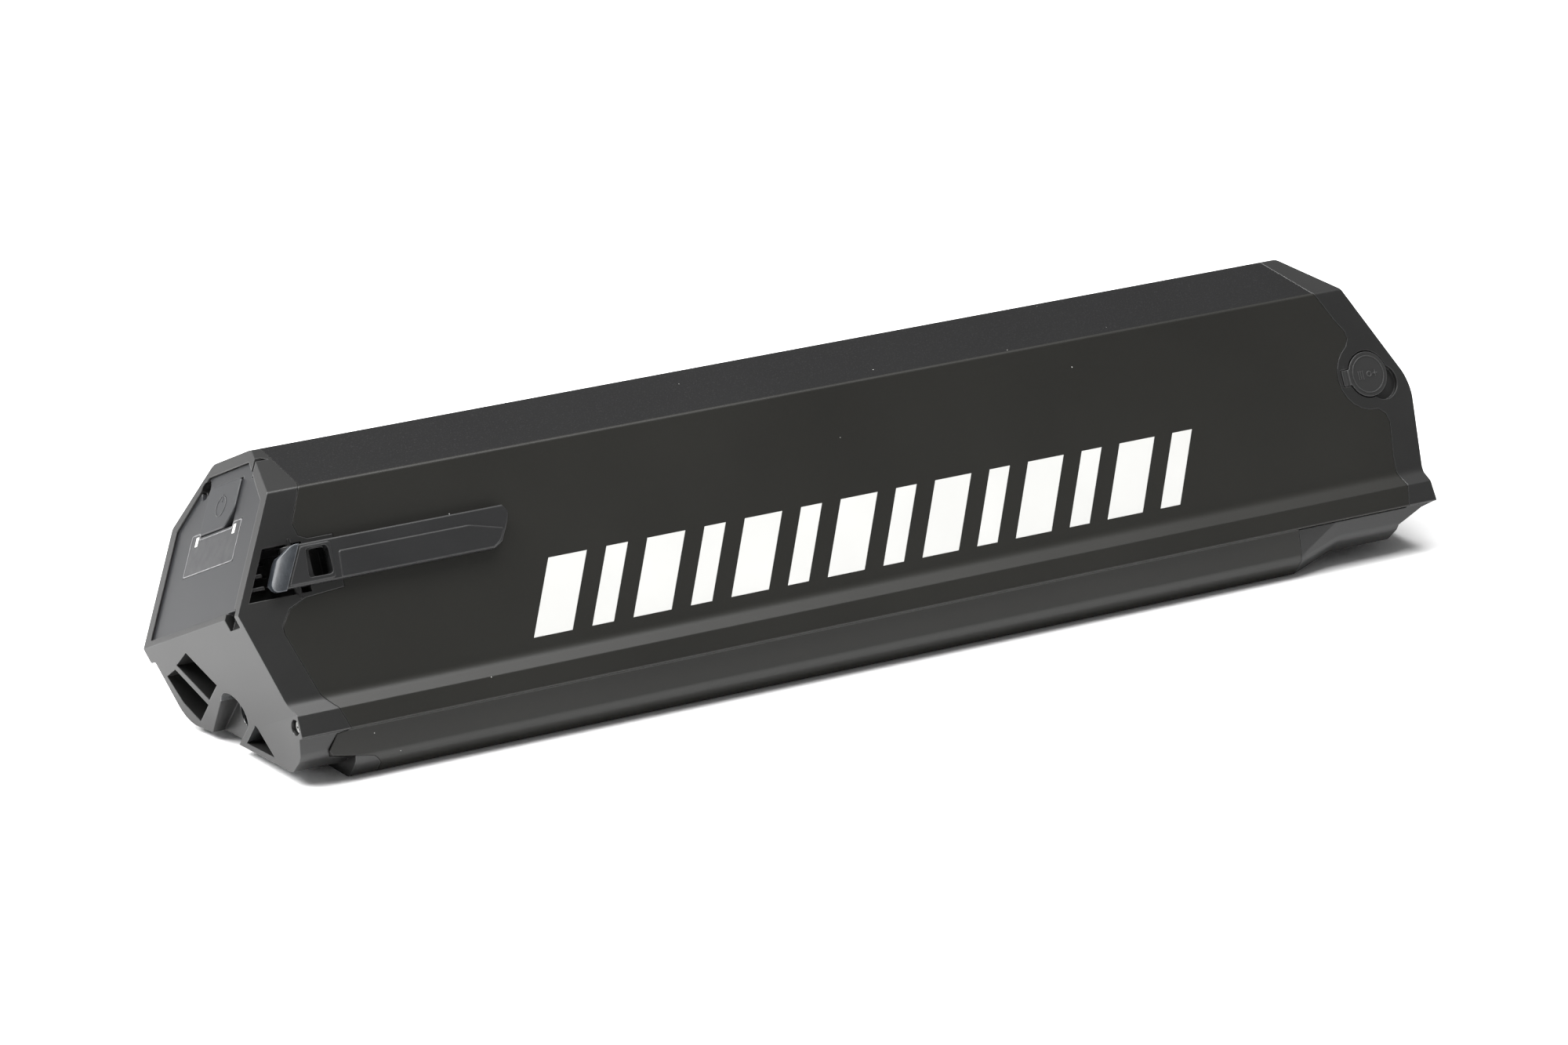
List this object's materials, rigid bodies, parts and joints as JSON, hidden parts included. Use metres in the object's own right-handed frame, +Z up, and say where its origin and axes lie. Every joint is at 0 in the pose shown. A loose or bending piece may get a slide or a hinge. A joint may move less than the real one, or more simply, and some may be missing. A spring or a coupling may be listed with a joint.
{
  "type": "battery pack",
  "caption": "Long battery pack in a black chamfered aluminium tube with plastic end caps, a control panel, a swing-out pull handle, a lock bore, and covered charge and discharge ports.",
  "frame": {"origin": "centre of the bounding box's base, on the surface the pack lies on", "axes": "+X along the pack, from the control panel's end to the discharge end; +Z up with the pack lying on its slanted underside; -Y towards the side with the pull handle"},
  "size_m": [0.51, 0.112, 0.1032],
  "materials": {
    "black_coated_aluminium": "satin, fine-grained powder coat",
    "cap_plastic": "moulded, fine matt texture",
    "panel_plastic": "satin",
    "button_plastic": "satin",
    "window_film": "printed film, smooth",
    "light_pipe": "milky, translucent",
    "circuit_board": "green solder resist",
    "black_plastic": "moulded",
    "handle_plastic": "soft satin",
    "steel": "plain zinc-plated",
    "gasket_rubber": "soft",
    "cover_rubber": "soft, matt",
    "contact_brass": "gold-plated",
    "cell_wrap": "heat-shrink film over a steel can",
    "nickel": "thin rolled strip",
    "insulation_paper": "fibrous paper",
    "aluminium_plate": "milled",
    "fuse_plastic": "clear-coated",
    "red_insulation": "silicone",
    "black_insulation": "silicone",
    "white_insulation": "silicone",
    "foam": "open-cell foam",
    "membrane": "breathing film"
  },
  "bodies": {
    "shell": {"housing_extrusion": "black_coated_aluminium", "control_end_cap": "cap_plastic", "control_panel": "panel_plastic", "indicator_window": "window_film", "indicator_light_pipes": "light_pipe", "control_board": "circuit_board", "tact_switch": "black_plastic", "handle_pin": "steel", "lock_bush": "steel", "control_end_gasket": "gasket_rubber", "control_end_screws": "steel", "discharge_end_cap": "cap_plastic", "discharge_socket": "black_plastic", "discharge_contacts": "contact_brass", "discharge_end_gasket": "gasket_rubber", "discharge_end_screws": "steel", "charge_cover_pin": "steel", "charge_socket": "black_plastic", "charge_socket_nut": "steel", "cell_holder_near": "black_plastic", "cell_holder_far": "black_plastic", "cell_row_top": "cell_wrap", "cell_row_middle": "cell_wrap", "cell_row_bottom": "cell_wrap", "nickel_strips_near": "nickel", "nickel_strips_far": "nickel", "insulation_sheet_near": "insulation_paper", "insulation_sheet_far": "insulation_paper", "holder_tie_rods": "steel", "bms_board": "circuit_board", "bms_power_parts": "black_plastic", "bms_heat_plate": "aluminium_plate", "main_fuse": "fuse_plastic", "positive_lead": "red_insulation", "negative_lead": "black_insulation", "charge_lead": "red_insulation", "control_harness": "white_insulation", "foam_pad_top": "foam", "foam_pads_end": "foam", "vent_membrane": "membrane"},
    "handle": {"pull_handle": "handle_plastic"},
    "button": {"power_button": "button_plastic"},
    "cover": {"charge_port_cover": "cover_rubber"}
  },
  "joints": [
    {"name": "handle_hinge", "type": "hinge", "parent": "shell", "child": "handle", "pos_m": [-0.2295, -0.02651, 0.07215], "axis": [0, -0.4226, -0.9063], "range_deg": [0, 110]},
    {"name": "button_press", "type": "slide", "parent": "shell", "child": "button", "axis": [0.8796, -0.201, -0.4311], "range_m": [0, 0.001], "stiffness_N_per_m": 400},
    {"name": "cover_hinge", "type": "hinge", "parent": "shell", "child": "cover", "pos_m": [0.226, -0.02975, 0.06616], "axis": [0, -0.4226, -0.9063], "range_deg": [0, 100]}
  ]
}
